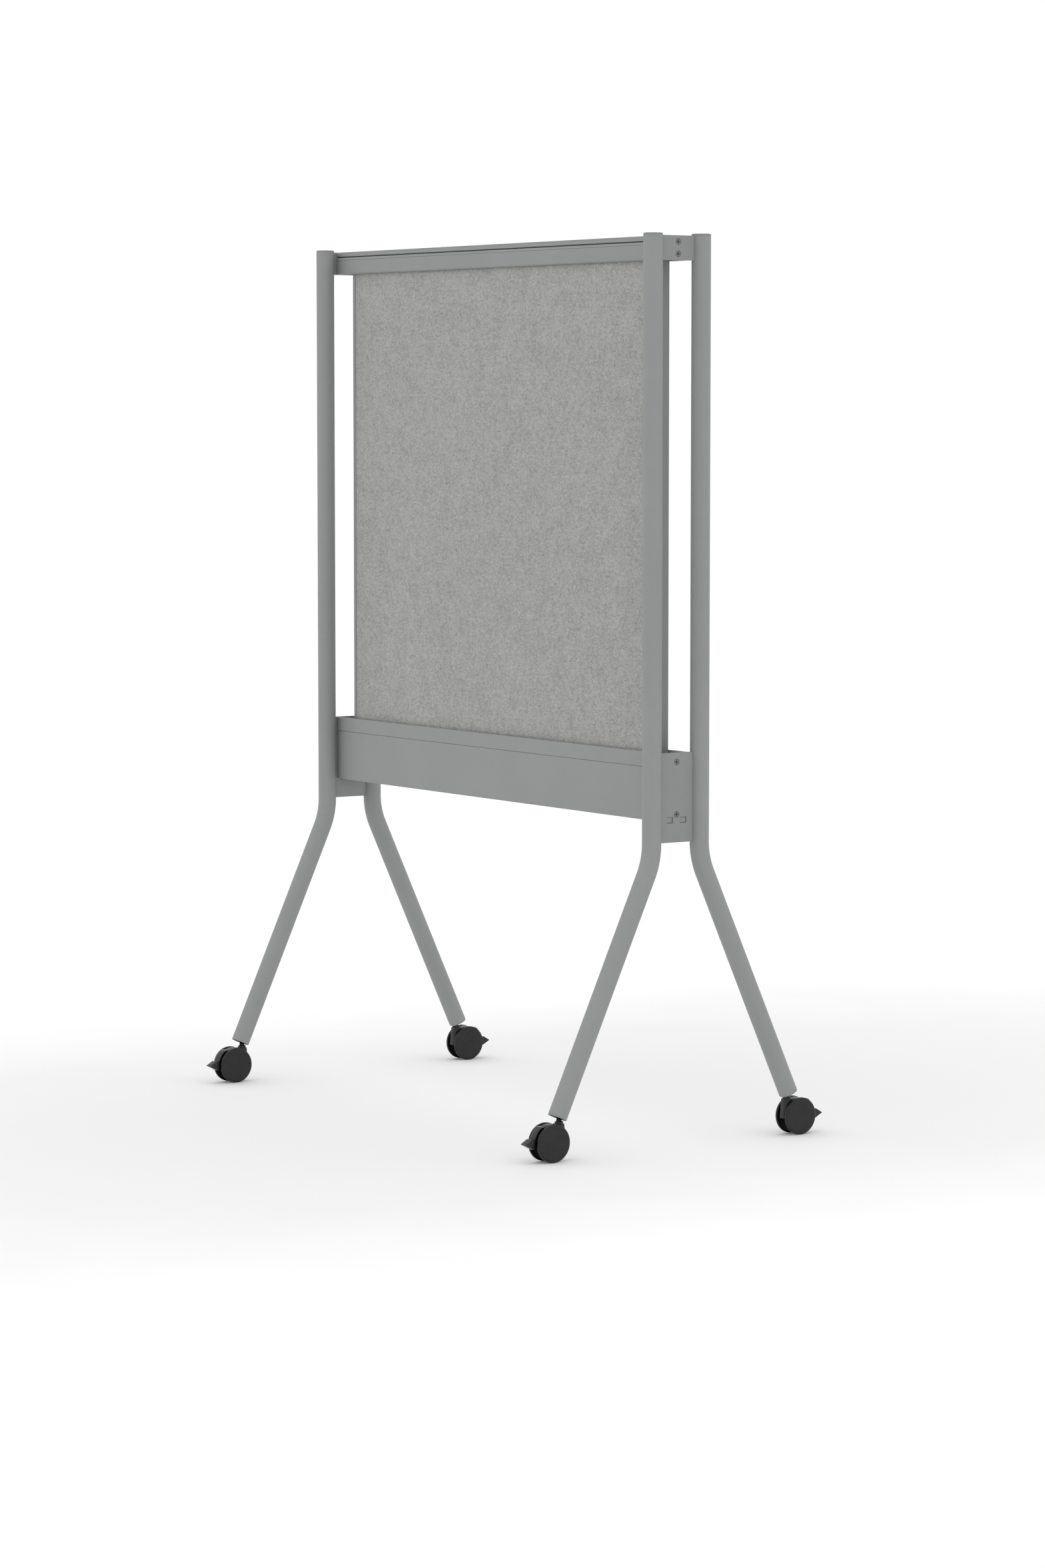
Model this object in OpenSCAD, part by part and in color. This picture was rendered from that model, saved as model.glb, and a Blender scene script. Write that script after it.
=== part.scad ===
// Mobile partition wall: fabric panel in a bent-tube frame on four braked twin-wheel casters.
// Origin on the floor at the centre, X along the width, -Y is the front, Z up, millimetres.

/* [Frame] */

// distance between the post centres along the width
post_span = 1216; // [900:1:1800]

// distance between the front and rear post centres
post_gap = 115; // [108:1:140]

// overall height with the post caps
total_h = 1788; // [1500:1:2100]

// outside diameter of the posts
tube_d = 38; // [36:0.5:42]

// wall of the posts
tube_wall = 2; // [1.5:0.1:2.5]

// height where the upright and leg centrelines cross
knee_z = 571; // [540:1:571]

// angle of the legs from vertical
leg_splay = 24.6; // [20:0.1:25]

// centreline radius of the bend
bend_r = 150; // [90:1:150]

// height of the centre of the cut leg end
leg_end_z = 84.5; // [84:0.1:86]

// height of a post cap above its tube
cap_h = 4; // [3:0.5:6]

/* [End plates] */

// thickness of the end plates
plate_t = 7; // [6:0.5:8]

// height of the upper end plates and of the top rail
rail_h = 48; // [48:1:60]

// bottom edge of the lower end plates
lower_plate_z = 604; // [604:1:620]

// top edge of the lower end plates and of the trough
trough_top_z = 780; // [775:1:785]

// height of a tab slot
slot_h = 12; // [8:0.5:14]

// width of a tab slot
slot_w = 14.5; // [10:0.5:16]

// distance from the middle to a tab slot's centre
slot_y = 16; // [15:0.5:18]

/* [Top rail] */

// depth of the top rail from front to back
rail_d = 64; // [62:1:70]

// opening of the hanging slots
hang_slot = 2.5; // [2:0.1:3]

// distance between the two screws of an upper end plate
rail_screw_pitch = 23.5; // [22:0.5:24]

/* [Trough] */

// depth of the trough from front to back
trough_d = 69; // [68:0.5:74]

// underside of the trough
trough_z = 645; // [644:0.5:646]

// height of the edge strips
strip_h = 30; // [26:1:34]

// gap between the trough channel and an edge strip
seam = 0.6; // [0.4:0.1:1]

// sheet thickness of the trough and its edge strips
sheet = 2; // [1.5:0.1:2]

// height of the lower screw above the trough's underside
low_screw_h = 14; // [13:0.5:20]

// depth of the upper screw below the trough's top
high_screw_h = 18; // [14:0.5:22]

/* [Panel] */

// width of the panel with its edge strips
panel_w = 1098; // [800:1:1120]

// thickness of the panel with its edge strips
panel_t = 48; // [40:0.5:48]

// visible width of a side strip
trim_w = 9; // [8:0.5:16]

// height of the panel's lower edge above the trough floor
panel_lift = 13; // [10:0.5:20]

// how far the panel reaches into the top rail
panel_in_rail = 5.5; // [4:0.5:5.5]

// thickness of a fabric face
fabric_t = 1.9; // [1.5:0.1:1.9]

// gap between a fabric face and the edge strips
fabric_gap = 0.6; // [0.2:0.1:1]

/* [Casters] */

// wheel diameter
wheel_d = 75; // [74:0.5:75]

// width over both wheels
twin_w = 38; // [37:0.5:40]

// thickness of a wheel disc
disc_t = 6.5; // [6:0.1:7]

// distance from the middle to the swivel axes
swivel_y = 276; // [275:0.5:277]

// distance from the swivel axis to the wheel axis
trail = 23; // [22.5:0.1:24]

// diameter of the caster stem
stem_d = 10.6; // [10:0.1:10.8]

// axle diameter
axle_d = 8; // [7:0.1:8]

// radius of the brake drum inside a wheel
drum_r = 17; // [16.5:0.1:17]

// travel of the brake pedal in degrees
pedal_travel = 18; // [10:1:18]

/* [Hidden] */

$fn = 96;
eps = 0.05;
over = 1;
big = 200;

grey = [0.56, 0.57, 0.56];
grey_dark = [0.50, 0.51, 0.50];
felt = [0.63, 0.62, 0.60];
board = [0.72, 0.66, 0.55];
black = [0.17, 0.17, 0.17];
steel = [0.62, 0.63, 0.64];

post_x = post_span / 2;
post_y = post_gap / 2;
tube_r = tube_d / 2;
bore_r = tube_r - tube_wall;
tube_top_z = total_h - cap_h;
bend_run = bend_r * tan(leg_splay / 2);
leg_end_y = post_y + (knee_z - leg_end_z) * tan(leg_splay);
leg_len = (knee_z - leg_end_z) / cos(leg_splay) - bend_run;
bend_thin = 0.22;
bend_lap = 0.2;

plate_y = post_y - tube_r + 3;
span_in = post_span - plate_t - 2 * eps;
rail_z = tube_top_z - rail_h;
rail_mid_z = rail_z + rail_h / 2;
tab_z = trough_z - 3;
screw_low_z = trough_z + low_screw_h;
screw_high_z = trough_top_z - high_screw_h;

screw_d = 6;
screw_head_d = 12;
screw_len = 22;
screw_hole_d = 6.6;
screw_tap_d = 6.1;
head_rim = 0.5;
head_sink = 0.3;
socket_d = 4.6;
socket_deep = 2.5;

wall = 2;
shoulder_z = 31;
slot_z = 36;
lip_in = 1.5;
hook_d = 8.5;
hook_h = 7;
boss_r = 5.5;
channel_h = 6.5;

strip_z = trough_top_z - strip_h + seam / 2;
channel_top_z = trough_top_z - strip_h - seam / 2;
flange_top_z = trough_top_z - 8;
fold_h = 6;
pocket = sheet + 0.2;
strip_w = 2 * sheet + pocket;
floor_z = trough_z + sheet;
end_t = 3;
end_x = post_x - plate_t / 2 - 0.1;
nut_d = 14;
nut_len = 12;
tab_len = plate_t - 2.1;

panel_z = floor_z + panel_lift;
panel_top_z = rail_z + panel_in_rail;
trim_t = 2;
core_t = panel_t - 2 * trim_t - 0.2;
top_trim_h = 4.5;

saddle_w = 60;
saddle_d = 56;
saddle_x = 400;
saddle_lip = 12;
saddle_screw_x = 18;
saddle_screw_d = 5;
pan_head_d = 9.5;
pan_head_h = 2.4;

plug_len = 44;
plug_in = 1.5;
thread_d = 10;
thread_top_z = 111;
neck_top_z = 81.5;
stem_z = 52.5;
ring_z = 56.5;
ring_t = 1.2;

wheel_r = wheel_d / 2;
wheel_y = swivel_y + trail;
wheel_out = twin_w / 2;
wheel_in = wheel_out - disc_t;
rim = 2.5;
web_t = 8;
hood_t = 18.2;
hood_r = wheel_r - 1.5;
hood_in_r = wheel_r - 4;
hood_end = 115;
rib_t = 12.4;
pad_low = 9.5;
pad_end = 54;
pad_ramp = 11;
pad_r = wheel_r + 3.1;
pad_shell = 2.4;
pillar_t = 18.4;
pedal_t = 18.2;
pedal_y = 27;
pedal_z = 3;
pedal_hub_r = 6;
pedal_pin_d = 4;
run = 0.05;
boss_d = 16.5;
boss_top_z = 77;

// ---- placing ----

// One corner: +1 is right or rear, -1 is left or front. Children are drawn for the rear.
module corner(side_x, side_y) {
    translate([side_x * post_x, 0, 0])
        mirror([0, (1 - side_y) / 2, 0])
            children();
}

module four_corners() {
    for (side_x = [-1, 1], side_y = [-1, 1])
        corner(side_x, side_y)
            children();
}

// Extrudes a front-to-back section (Y, Z) along X, centred.
module along_x(length) {
    translate([-length / 2, 0, 0])
        rotate([90, 0, 90])
            linear_extrude(height = length)
                children();
}

// Turns about an axis parallel to X. The profile's x is the radius and y is +X.
module about_x() {
    rotate([90, 0, 90])
        rotate_extrude()
            children();
}

// Puts the section's origin on the wheel centre.
module at_wheel() {
    translate([wheel_y, wheel_r])
        children();
}

module box_2d(low, high) {
    translate(low)
        square([high[0] - low[0], high[1] - low[1]]);
}

module both_sides_2d() {
    children();
    mirror([1, 0])
        children();
}

// ---- posts ----

module tube_ring(step) {
    difference() {
        circle(r = tube_r - step);
        circle(r = bore_r + step);
    }
}

// Bending draws the tube a little thinner, so the bend reaches into both straight runs.
module post(side_x, side_y) {
    color(grey)
        corner(side_x, side_y) {
            translate([0, post_y, knee_z + bend_run])
                linear_extrude(height = tube_top_z - knee_z - bend_run)
                    tube_ring(0);
            translate([0, post_y + bend_r, knee_z + bend_run]) {
                rotate([90, 0, 90])
                    rotate([0, 0, 180 - bend_lap])
                        rotate_extrude(angle = leg_splay + 2 * bend_lap)
                            translate([bend_r, 0])
                                tube_ring(bend_thin);
                rotate([leg_splay, 0, 0])
                    translate([0, -bend_r, -leg_len])
                        linear_extrude(height = leg_len)
                            tube_ring(0);
            }
        }
}

module post_caps() {
    soft = 2;
    color(grey_dark)
        four_corners()
            translate([0, post_y, 0])
                rotate_extrude() {
                    box_2d([0, tube_top_z - 20], [bore_r - eps, tube_top_z]);
                    box_2d([0, tube_top_z], [tube_r, total_h - soft]);
                    box_2d([0, tube_top_z], [tube_r - soft, total_h]);
                    translate([tube_r - soft, total_h - soft])
                        intersection() {
                            circle(r = soft);
                            square(soft);
                        }
                }
}

// ---- end plates ----

module plate_blank(low_z, high_z) {
    difference() {
        translate([-plate_t / 2, -plate_y, low_z])
            cube([plate_t, 2 * plate_y, high_z - low_z]);
        for (side_y = [-1, 1])
            translate([0, side_y * post_y, low_z - over])
                cylinder(r = tube_r + 0.02, h = high_z - low_z + 2 * over);
    }
}

// A countersunk hole that enters from +X.
module sunk_hole(height) {
    translate([0, 0, height])
        about_x() {
            box_2d([0, -plate_t], [screw_hole_d / 2, plate_t]);
            polygon([
                [0, plate_t / 2 + over],
                [screw_head_d / 2 + 0.3, plate_t / 2 + over],
                [screw_head_d / 2 + 0.3, plate_t / 2 - head_sink - head_rim],
                [screw_hole_d / 2, plate_t / 2 - head_sink - head_rim - screw_d / 2],
                [0, plate_t / 2 - head_sink - head_rim - screw_d / 2]
            ]);
        }
}

module upper_plate(side_x) {
    color(grey)
        translate([side_x * post_x, 0, 0])
            mirror([(1 - side_x) / 2, 0, 0])
                difference() {
                    plate_blank(rail_z, tube_top_z);
                    for (side = [-1, 1])
                        sunk_hole(rail_mid_z + side * rail_screw_pitch / 2);
                }
}

module lower_plate(side_x) {
    color(grey)
        translate([side_x * post_x, 0, 0])
            mirror([(1 - side_x) / 2, 0, 0])
                difference() {
                    plate_blank(lower_plate_z, trough_top_z);
                    sunk_hole(screw_low_z);
                    sunk_hole(screw_high_z);
                    for (side = [-1, 1])
                        translate([-plate_t, side * slot_y - slot_w / 2, tab_z])
                            cube([2 * plate_t, slot_w, slot_h]);
                }
}

// ---- flush screws ----

module flush_screw() {
    head_h = (screw_head_d - screw_d) / 2;
    difference() {
        about_x()
            polygon([
                [0, 0],
                [screw_head_d / 2, 0],
                [screw_head_d / 2, -head_rim],
                [screw_d / 2, -head_rim - head_h],
                [screw_d / 2, 0.8 - screw_len],
                [screw_d / 2 - 0.8, -screw_len],
                [0, -screw_len]
            ]);
        translate([-socket_deep, 0, 0])
            rotate([0, 90, 0])
                cylinder(d = socket_d, h = socket_deep + over, $fn = 6);
    }
}

module frame_screws() {
    heights = [
        rail_mid_z - rail_screw_pitch / 2,
        rail_mid_z + rail_screw_pitch / 2,
        screw_low_z,
        screw_high_z
    ];
    color(grey_dark)
        for (side_x = [-1, 1], height = heights)
            mirror([(1 - side_x) / 2, 0, 0])
                translate([post_x + plate_t / 2 - head_sink, 0, height])
                    flush_screw();
}

// ---- top rail ----

module rail_outline() {
    soft_low = 3;
    soft_top = 2;
    half = rail_d / 2;
    half_up = half - lip_in;
    box_2d([-half, soft_low], [half, shoulder_z]);
    box_2d([-half + soft_low, 0], [half - soft_low, soft_low]);
    polygon([[-half, shoulder_z], [half, shoulder_z], [half_up, slot_z], [-half_up, slot_z]]);
    box_2d([-half_up, slot_z], [half_up, rail_h - soft_top]);
    box_2d([-half_up + soft_top, slot_z], [half_up - soft_top, rail_h]);
    both_sides_2d() {
        translate([half - soft_low, soft_low])
            circle(r = soft_low);
        translate([half_up - soft_top, rail_h - soft_top])
            circle(r = soft_top);
    }
}

module rail_section() {
    half = rail_d / 2;
    half_up = half - lip_in;
    channel_half = panel_t / 2 + 0.4;
    screw_z = [rail_h / 2 - rail_screw_pitch / 2, rail_h / 2 + rail_screw_pitch / 2];
    difference() {
        rail_outline();
        difference() {
            union() {
                box_2d([-half + wall, wall], [half - wall, slot_z - wall]);
                box_2d(
                    [-half_up + hook_d + wall, wall],
                    [half_up - hook_d - wall, rail_h - wall]
                );
            }
            box_2d([-channel_half - wall, 0], [channel_half + wall, channel_h + wall]);
            box_2d([-wall / 2, 0], [wall / 2, rail_h]);
            for (height = screw_z)
                translate([0, height])
                    circle(r = boss_r);
        }
        both_sides_2d() {
            box_2d([half_up - hook_d, slot_z], [half_up + over, slot_z + hang_slot]);
            box_2d([half_up - hook_d, slot_z], [half_up - 2.5, slot_z + hook_h]);
        }
        box_2d([-channel_half, -over], [channel_half, channel_h]);
        for (height = screw_z)
            translate([0, height])
                circle(d = screw_tap_d);
    }
}

module top_rail() {
    color(grey)
        translate([0, 0, rail_z])
            along_x(span_in)
                rail_section();
}

// ---- trough ----

module trough_channel_section() {
    half = trough_d / 2;
    bend_out = 4;
    flange_out = half - sheet - 0.1;
    flange_in = flange_out - sheet;
    box_2d([-half + bend_out, trough_z], [half - bend_out, floor_z]);
    both_sides_2d() {
        translate([half - bend_out, trough_z + bend_out])
            intersection() {
                difference() {
                    circle(r = bend_out);
                    circle(r = bend_out - sheet);
                }
                box_2d([0, -bend_out], [bend_out, 0]);
            }
        box_2d([half - sheet, trough_z + bend_out], [half, channel_top_z]);
        box_2d([flange_in, channel_top_z - fold_h], [half, channel_top_z]);
        box_2d([flange_in, channel_top_z - fold_h], [flange_out, flange_top_z]);
    }
}

module trough_channel() {
    color(grey)
        difference() {
            along_x(span_in)
                trough_channel_section();
            saddle_places()
                translate([0, 0, trough_z - over])
                    cylinder(d = saddle_screw_d + 0.4, h = sheet + 2 * over);
        }
}

module edge_strip_section() {
    soft = strip_w / 2 - 0.1;
    outer = -trough_d / 2;
    difference() {
        union() {
            box_2d([outer, strip_z], [outer + strip_w, trough_top_z - soft]);
            box_2d([outer + soft, strip_z], [outer + strip_w - soft, trough_top_z]);
            translate([outer + soft, trough_top_z - soft])
                circle(r = soft);
            translate([outer + strip_w - soft, trough_top_z - soft])
                circle(r = soft);
        }
        box_2d(
            [outer + sheet, strip_z - over],
            [outer + sheet + pocket, trough_top_z - sheet - 0.5]
        );
        box_2d(
            [outer + sheet, strip_z - over],
            [outer + strip_w + over, strip_z + fold_h]
        );
    }
}

module trough_edge(side_y) {
    color(grey)
        mirror([0, (1 + side_y) / 2, 0])
            along_x(span_in)
                edge_strip_section();
}

module trough_end(side_x) {
    half_low = trough_d / 2 - sheet - 0.1;
    half_high = trough_d / 2 - strip_w - 0.2;
    low_top_z = channel_top_z - fold_h - 0.2;
    corner_cut = 2.2;
    color(grey)
        mirror([(1 - side_x) / 2, 0, 0])
            difference() {
                union() {
                    translate([end_x - end_t / 2, 0, 0])
                        along_x(end_t) {
                            polygon([
                                [-half_low, low_top_z],
                                [-half_low, floor_z + eps + corner_cut],
                                [-half_low + corner_cut, floor_z + eps],
                                [half_low - corner_cut, floor_z + eps],
                                [half_low, floor_z + eps + corner_cut],
                                [half_low, low_top_z]
                            ]);
                            box_2d([-half_high, low_top_z], [half_high, trough_top_z - 5]);
                        }
                    for (height = [screw_low_z, screw_high_z])
                        translate([end_x - end_t - nut_len, 0, height])
                            rotate([0, 90, 0])
                                cylinder(d = nut_d, h = nut_len + eps);
                    for (side = [-1, 1]) {
                        translate([end_x - eps, side * slot_y - slot_w / 2 + 0.3, floor_z + eps])
                            cube([tab_len, slot_w - 0.6, tab_z + slot_h - floor_z - 0.4]);
                        translate([end_x + 0.15, side * slot_y - slot_w / 2 + 0.3, tab_z + 0.4])
                            cube([tab_len - 0.2, slot_w - 0.6, slot_h - 0.8]);
                    }
                }
                for (height = [screw_low_z, screw_high_z])
                    translate([end_x - end_t - nut_len - over, 0, height])
                        rotate([0, 90, 0])
                            cylinder(d = screw_tap_d, h = nut_len + end_t + 2 * over);
            }
}

// ---- panel ----

module panel_core() {
    half = panel_w / 2 - trim_t - 0.1;
    color(board)
        translate([-half, -core_t / 2, panel_z + trim_t + 0.1])
            cube([2 * half, core_t, panel_top_z - panel_z - 2 * trim_t - 0.2]);
}

module panel_fabric(side_y) {
    half = panel_w / 2 - trim_w - fabric_gap;
    low_z = panel_z + trim_w + fabric_gap;
    high_z = panel_top_z - top_trim_h - 0.2;
    color(felt)
        mirror([0, (1 - side_y) / 2, 0])
            translate([-half, core_t / 2 + 0.05, low_z])
                cube([2 * half, fabric_t, high_z - low_z]);
}

// U strip section with its back on x = 0 and its legs towards +x.
module trim_section(leg) {
    difference() {
        box_2d([0, -panel_t / 2], [leg, panel_t / 2]);
        box_2d([trim_t, -panel_t / 2 + trim_t], [leg + over, panel_t / 2 - trim_t]);
    }
}

module panel_side_trim(side_x) {
    color(grey_dark)
        mirror([(1 + side_x) / 2, 0, 0])
            translate([-panel_w / 2, 0, panel_z])
                linear_extrude(height = panel_top_z - panel_z)
                    trim_section(trim_w);
}

module panel_trim_bottom() {
    color(grey_dark)
        translate([0, 0, panel_z])
            along_x(panel_w - 2 * trim_w - 0.2)
                rotate([0, 0, 90])
                    trim_section(trim_w);
}

module panel_trim_top() {
    color(grey_dark)
        translate([0, 0, panel_top_z])
            along_x(panel_w - 2 * trim_w - 0.2)
                rotate([0, 0, -90])
                    trim_section(top_trim_h);
}

// ---- saddles under the panel ----

module saddle_places() {
    for (place = [-1, 0, 1], side = [-1, 1])
        translate([place * saddle_x + side * saddle_screw_x, 0, 0])
            children();
}

module panel_saddles() {
    color(black)
        difference() {
            for (place = [-1, 0, 1])
                translate([place * saddle_x, 0, 0])
                    along_x(saddle_w)
                        difference() {
                            box_2d(
                                [-saddle_d / 2, floor_z + eps],
                                [saddle_d / 2, panel_z + saddle_lip]
                            );
                            box_2d(
                                [-panel_t / 2 - 0.2, panel_z - eps],
                                [panel_t / 2 + 0.2, panel_z + saddle_lip + over]
                            );
                        }
            saddle_places()
                translate([0, 0, floor_z - over])
                    cylinder(d = saddle_screw_d + 0.1, h = panel_lift + 2 * over);
        }
}

module saddle_screws() {
    color(steel)
        saddle_places()
            translate([0, 0, trough_z - pan_head_h - eps])
                difference() {
                    union() {
                        cylinder(d1 = pan_head_d - 2, d2 = pan_head_d, h = pan_head_h);
                        cylinder(d = saddle_screw_d, h = pan_head_h + sheet + panel_lift - 1);
                    }
                    translate([0, 0, -over])
                        cylinder(d = 3.4, h = over + 1.6, $fn = 6);
                }
}

// ---- leg ends and caster stems ----

module leg_plugs() {
    color(black)
        four_corners()
            difference() {
                translate([0, leg_end_y, leg_end_z])
                    rotate([leg_splay, 0, 0])
                        translate([0, 0, plug_in])
                            cylinder(r = bore_r - eps, h = plug_len);
                translate([0, swivel_y, 0])
                    cylinder(d = thread_d + 0.1, h = thread_top_z + 2);
            }
}

module caster_stems() {
    tip = 1;
    groove_r = stem_d / 2 - 0.9;
    color(steel)
        four_corners()
            translate([0, swivel_y, 0])
                rotate_extrude()
                    polygon([
                        [0, stem_z],
                        [stem_d / 2 - tip, stem_z],
                        [stem_d / 2, stem_z + tip],
                        [stem_d / 2, ring_z],
                        [groove_r, ring_z],
                        [groove_r, ring_z + ring_t + 0.1],
                        [stem_d / 2, ring_z + ring_t + 0.1],
                        [stem_d / 2, neck_top_z],
                        [thread_d / 2, neck_top_z],
                        [thread_d / 2, thread_top_z - tip],
                        [thread_d / 2 - tip, thread_top_z],
                        [0, thread_top_z]
                    ]);
}

module stem_rings() {
    mouth = 4;
    color(steel)
        four_corners()
            translate([0, swivel_y, ring_z + eps])
                difference() {
                    cylinder(d = stem_d + 2.4, h = ring_t);
                    translate([0, 0, -over])
                        cylinder(d = stem_d - 1.7, h = ring_t + 2 * over);
                    translate([-mouth / 2, 0, -over])
                        cube([mouth, stem_d, ring_t + 2 * over]);
                }
}

// ---- casters ----

module pillar() {
    soft = 6;
    half = pillar_t / 2;
    back_top = 9;
    back_low = 12.5;
    front = 9;
    intersection() {
        along_x(pillar_t)
            polygon([
                [swivel_y - back_low, wheel_r - 3.5],
                [swivel_y + front, wheel_r - 3.5],
                [swivel_y + front, wheel_r + 35.5],
                [swivel_y - back_top, wheel_r + 35.5]
            ]);
        translate([0, swivel_y, 0])
            linear_extrude(height = big) {
                box_2d([-half, -back_low + soft], [half, front]);
                box_2d([-half + soft, -back_low], [half - soft, front]);
                for (side = [-1, 1])
                    translate([side * (half - soft), -back_low + soft])
                        circle(r = soft);
            }
    }
}

function polar(r, angle) = [r * cos(angle), r * sin(angle)];

// The part of a ring about the wheel centre that lies between two angles.
module ring_part(in_r, out_r, start, end) {
    intersection() {
        difference() {
            circle(r = out_r);
            circle(r = in_r);
        }
        polygon([[0, 0], polar(big, start), polar(big, (start + end) / 2), polar(big, end)]);
    }
}

// The raised front part of a ring, cut off level just above the pedal.
module front_ring_part(in_r, out_r) {
    intersection() {
        difference() {
            circle(r = out_r);
            circle(r = in_r);
        }
        polygon([[pad_low / tan(pad_end), pad_low], [big, pad_low], polar(big, pad_end)]);
    }
}

// The hood over the wheels: low at the back, then a ramp up to a raised shell above the pedal.
module hood_section() {
    ramp_end = pad_end + pad_ramp;
    at_wheel() {
        ring_part(hood_in_r, hood_r, ramp_end, hood_end);
        polygon([
            polar(pad_r - pad_shell, pad_end),
            polar(pad_r, pad_end),
            polar(hood_r, ramp_end),
            polar(hood_in_r, ramp_end)
        ]);
        front_ring_part(pad_r - pad_shell, pad_r);
    }
}

module web_section() {
    at_wheel() {
        intersection() {
            circle(r = hood_in_r + 1);
            polygon([
                [-trail - 6, -3.5],
                [0, -8],
                [pedal_y, pedal_z - pedal_hub_r],
                [pedal_y + pedal_hub_r, pedal_z],
                polar(hood_in_r, 16),
                [hood_in_r, big],
                [-trail + 5, big]
            ]);
        }
        circle(r = 8);
        translate([pedal_y, pedal_z])
            circle(r = pedal_hub_r);
    }
}

module housing(side_x, side_y) {
    color(black)
        corner(side_x, side_y)
            difference() {
                union() {
                    pillar();
                    translate([0, swivel_y, 0])
                        rotate_extrude()
                            polygon([
                                [0, wheel_r + 22],
                                [boss_d / 2, wheel_r + 22],
                                [boss_d / 2, boss_top_z - 1],
                                [boss_d / 2 - 1, boss_top_z],
                                [0, boss_top_z]
                            ]);
                    along_x(hood_t)
                        hood_section();
                    along_x(rib_t)
                        at_wheel()
                            front_ring_part(hood_in_r, pad_r - pad_shell / 2);
                    along_x(web_t)
                        web_section();
                }
                for (side = [-1, 1])
                    translate([side * (web_t / 2 + big / 2), wheel_y, wheel_r])
                        about_x()
                            box_2d([0, -big / 2], [drum_r + 1.2, big / 2]);
                translate([0, wheel_y, wheel_r])
                    about_x()
                        box_2d([0, -web_t], [axle_d / 2 + 0.01, web_t]);
                translate([0, wheel_y + pedal_y, wheel_r + pedal_z])
                    about_x()
                        box_2d([0, -web_t], [pedal_pin_d / 2 + 0.01, web_t]);
                translate([0, swivel_y, 0])
                    rotate_extrude() {
                        box_2d([0, stem_z - 0.5], [stem_d / 2 + run, big]);
                        box_2d([0, ring_z - 0.3], [stem_d / 2 + 1.6, ring_z + ring_t + 0.5]);
                    }
            }
}

module axle(side_x, side_y) {
    groove_low = wheel_in + 1.5;
    groove_high = groove_low + 1.6;
    end = wheel_out - 2.2;
    color(steel)
        corner(side_x, side_y)
            translate([0, wheel_y, wheel_r])
                for (side = [0, 1])
                    mirror([side, 0, 0])
                        about_x()
                            polygon([
                                [0, 0],
                                [axle_d / 2, 0],
                                [axle_d / 2, groove_low],
                                [axle_d / 2 - 0.6, groove_low],
                                [axle_d / 2 - 0.6, groove_high],
                                [axle_d / 2, groove_high],
                                [axle_d / 2, end - 0.6],
                                [axle_d / 2 - 0.6, end],
                                [0, end]
                            ]);
}

module wheel_section() {
    soft = 1;
    rib_low = wheel_in + 1.8;
    difference() {
        union() {
            box_2d([0, wheel_in + soft], [wheel_r, wheel_out - rim]);
            box_2d([0, wheel_in], [wheel_r - soft, wheel_in + soft]);
            box_2d([0, wheel_out - rim], [wheel_r - rim, wheel_out]);
            translate([wheel_r - soft, wheel_in + soft])
                intersection() {
                    circle(r = soft);
                    translate([0, -soft])
                        square(soft);
                }
            translate([wheel_r - rim, wheel_out - rim])
                intersection() {
                    circle(r = rim);
                    square(rim);
                }
            box_2d([0, web_t / 2 + 0.6], [drum_r, wheel_in + soft]);
        }
        box_2d([0, 0], [axle_d / 2 + run, wheel_out - 1.9]);
        box_2d([axle_d / 2 + 3.5, 0], [drum_r - 2.5, wheel_in]);
        box_2d([drum_r + 2, 0], [wheel_r - 4, wheel_in + 3]);
    }
    box_2d([axle_d / 2 - 0.4, rib_low], [axle_d / 2 + 0.5, rib_low + 1]);
}

module wheel(side_x, side_y, face) {
    color(black)
        corner(side_x, side_y)
            translate([0, wheel_y, wheel_r])
                mirror([(1 - face) / 2, 0, 0])
                    about_x()
                        wheel_section();
}

// Pedal outline about the wheel centre, outside the housing's web.
module pedal_blade_section() {
    polygon([
        [hood_in_r + 0.8, 8.6],
        [38.4, 8.9],
        [45.5, 10.3],
        [59.8, 1.6],
        [59.8, 0.6],
        [42.5, -9],
        [34.3, -5.5]
    ]);
}

// Arm beside the web, with the cam that meets the drum when the pedal is pressed.
module pedal_arm_section() {
    cam_angle = 186.3 + pedal_travel;
    cam_r = sqrt(pedal_y * pedal_y + pedal_z * pedal_z) - drum_r - 0.3;
    polygon([
        [pedal_y, pedal_z + 4.8],
        [36, 7.5],
        [36, -4.5],
        [pedal_y, pedal_z - 4.8]
    ]);
    translate([pedal_y, pedal_z])
        rotate([0, 0, cam_angle])
            polygon([
                [0, 4],
                [cam_r - 0.8, 1.6],
                [cam_r, 0.6],
                [cam_r, -0.6],
                [cam_r - 0.8, -1.6],
                [0, -4]
            ]);
}

module pedal(side_x, side_y) {
    arm_t = (pedal_t - web_t) / 2 - 0.6;
    color(black)
        corner(side_x, side_y)
            difference() {
                union() {
                    along_x(pedal_t)
                        at_wheel()
                            pedal_blade_section();
                    for (side = [-1, 1])
                        translate([side * (pedal_t - arm_t) / 2, 0, 0]) {
                            along_x(arm_t - 0.02)
                                at_wheel()
                                    pedal_arm_section();
                            translate([-arm_t / 2, wheel_y + pedal_y, wheel_r + pedal_z])
                                rotate([0, 90, 0])
                                    cylinder(r = pedal_hub_r, h = arm_t);
                        }
                }
                translate([0, wheel_y + pedal_y, wheel_r + pedal_z])
                    about_x()
                        box_2d([0, -pedal_t], [pedal_pin_d / 2 + run, pedal_t]);
            }
}

module pedal_pin(side_x, side_y) {
    color(steel)
        corner(side_x, side_y)
            translate([0, wheel_y + pedal_y, wheel_r + pedal_z])
                about_x()
                    box_2d([0, -pedal_t / 2 + 0.3], [pedal_pin_d / 2, pedal_t / 2 - 0.3]);
}

// ---- parts ----

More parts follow.
